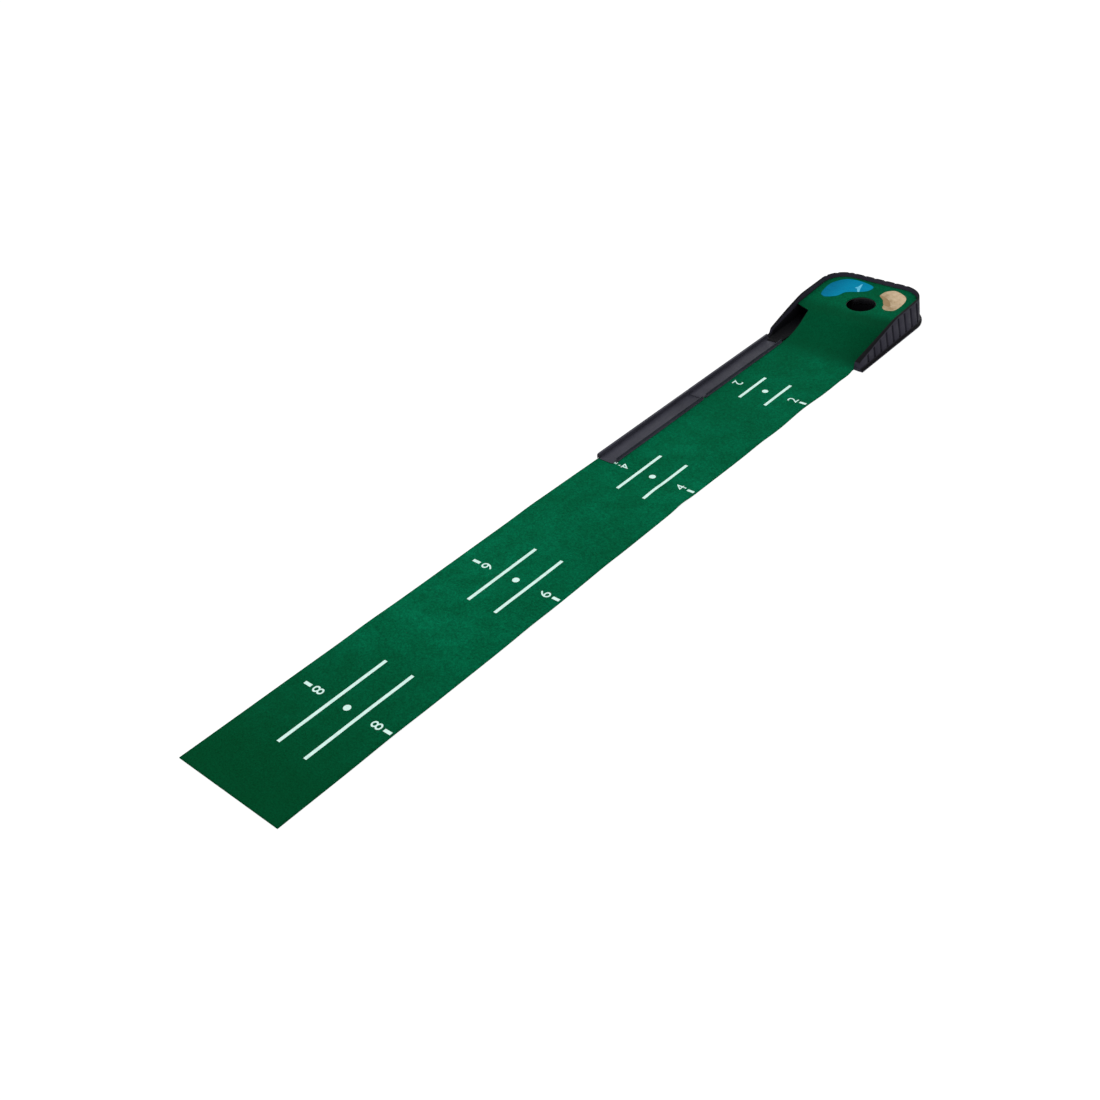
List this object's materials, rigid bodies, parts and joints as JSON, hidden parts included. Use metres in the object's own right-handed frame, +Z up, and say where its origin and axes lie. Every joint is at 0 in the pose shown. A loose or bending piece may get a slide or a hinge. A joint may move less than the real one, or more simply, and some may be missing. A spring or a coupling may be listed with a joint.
{
  "type": "practice putting mat",
  "caption": "Felt putting runner with printed distance marks, ramp and raised cup in a ribbed housing, and a gravity gutter and plug-together tracks that return the ball.",
  "frame": {"origin": "on the floor, straight under the centre of the cup, on the underside of the gutter's stand", "axes": "+Y along the runner from the near end towards the cup and the housing's back wall, +X to the player's right, +Z up"},
  "size_m": [0.4133, 2.9695, 0.0862],
  "materials": {
    "turf": "short green felt nap with printed marks",
    "housing_plastic": "fine-textured black moulded plastic",
    "inner_plastic": "plain black moulded plastic",
    "track_plastic": "dark grey moulded plastic, satin",
    "hook_tape": "black hook tape",
    "rubber": "soft black rubber",
    "steel": "zinc-plated screws"
  },
  "bodies": {
    "housing": {"turf_runner": "turf", "turf_deck": "turf", "ribbed_surround": "housing_plastic", "ramp_deck": "inner_plastic", "cup_sleeve": "inner_plastic", "return_gutter": "inner_plastic", "gutter_screws": "steel", "deck_screws": "steel", "hook_strip_deck_rear": "hook_tape", "hook_strip_deck_front": "hook_tape", "hook_strip_ramp_left": "hook_tape", "hook_strip_ramp_right": "hook_tape", "foot_front_right": "rubber", "foot_rear_right": "rubber", "foot_rear_left": "rubber", "foot_mid_left": "rubber"},
    "upper_section": {"track_upper": "track_plastic"},
    "lower_section": {"track_lower": "track_plastic"}
  },
  "joints": [
    {"name": "upper_track_slide", "type": "slide", "parent": "housing", "child": "upper_section", "axis": [0, -1, 0], "range_m": [0, 0.06]},
    {"name": "lower_track_slide", "type": "slide", "parent": "upper_section", "child": "lower_section", "axis": [0, -1, 0], "range_m": [0, 0.06]}
  ]
}
